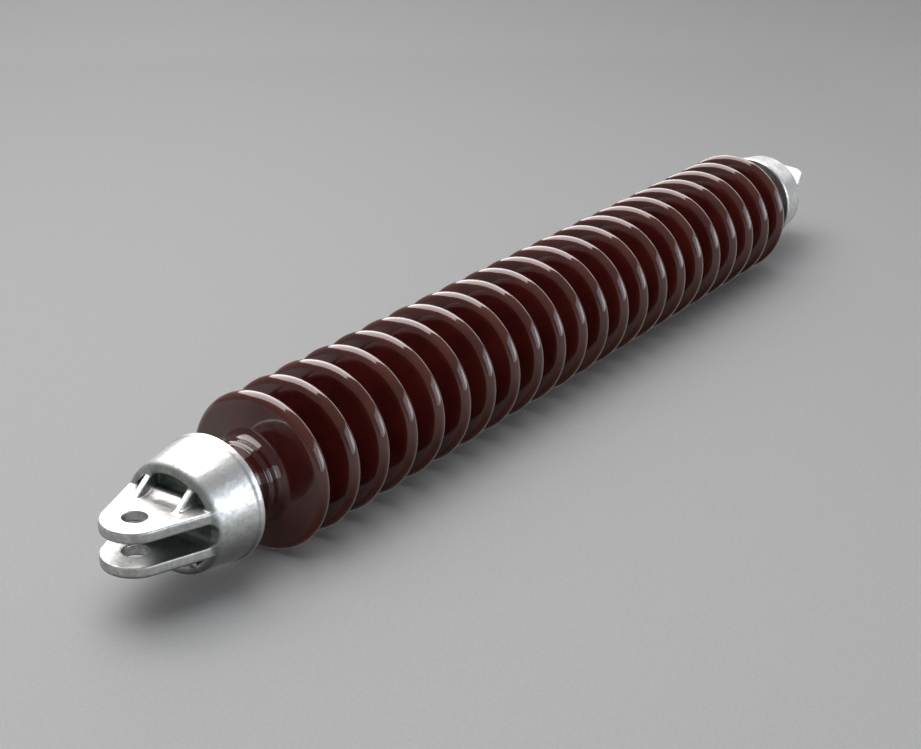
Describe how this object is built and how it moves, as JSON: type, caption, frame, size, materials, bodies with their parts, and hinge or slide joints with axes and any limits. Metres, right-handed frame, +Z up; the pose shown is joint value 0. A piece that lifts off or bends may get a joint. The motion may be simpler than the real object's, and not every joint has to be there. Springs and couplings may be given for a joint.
{
  "type": "long-rod porcelain insulator",
  "caption": "Long-rod high-voltage insulator: a shedded brown porcelain rod cemented into a cast clevis cap at each end.",
  "frame": {"origin": "centre of the near clevis's pin hole, on the rod's axis", "axes": "+X along the rod from the near clevis to the far one, +Z up along both pin holes, with the clevis ears level; the rod lies level, as in a strain string"},
  "size_m": [1.3304, 0.1514, 0.1514],
  "materials": {
    "glazed_porcelain": "gloss",
    "galvanised_iron": "satin",
    "cement": "matte",
    "cork": "matte",
    "bitumen": "satin",
    "sealant": "matte"
  },
  "bodies": {
    "root": {"porcelain_rod": "glazed_porcelain", "near_clevis_cap": "galvanised_iron", "near_cement": "cement", "near_end_cushion": "cork", "near_head_coat": "bitumen", "near_mouth_seal": "sealant", "far_clevis_cap": "galvanised_iron", "far_cement": "cement", "far_end_cushion": "cork", "far_head_coat": "bitumen", "far_mouth_seal": "sealant"}
  },
  "joints": []
}
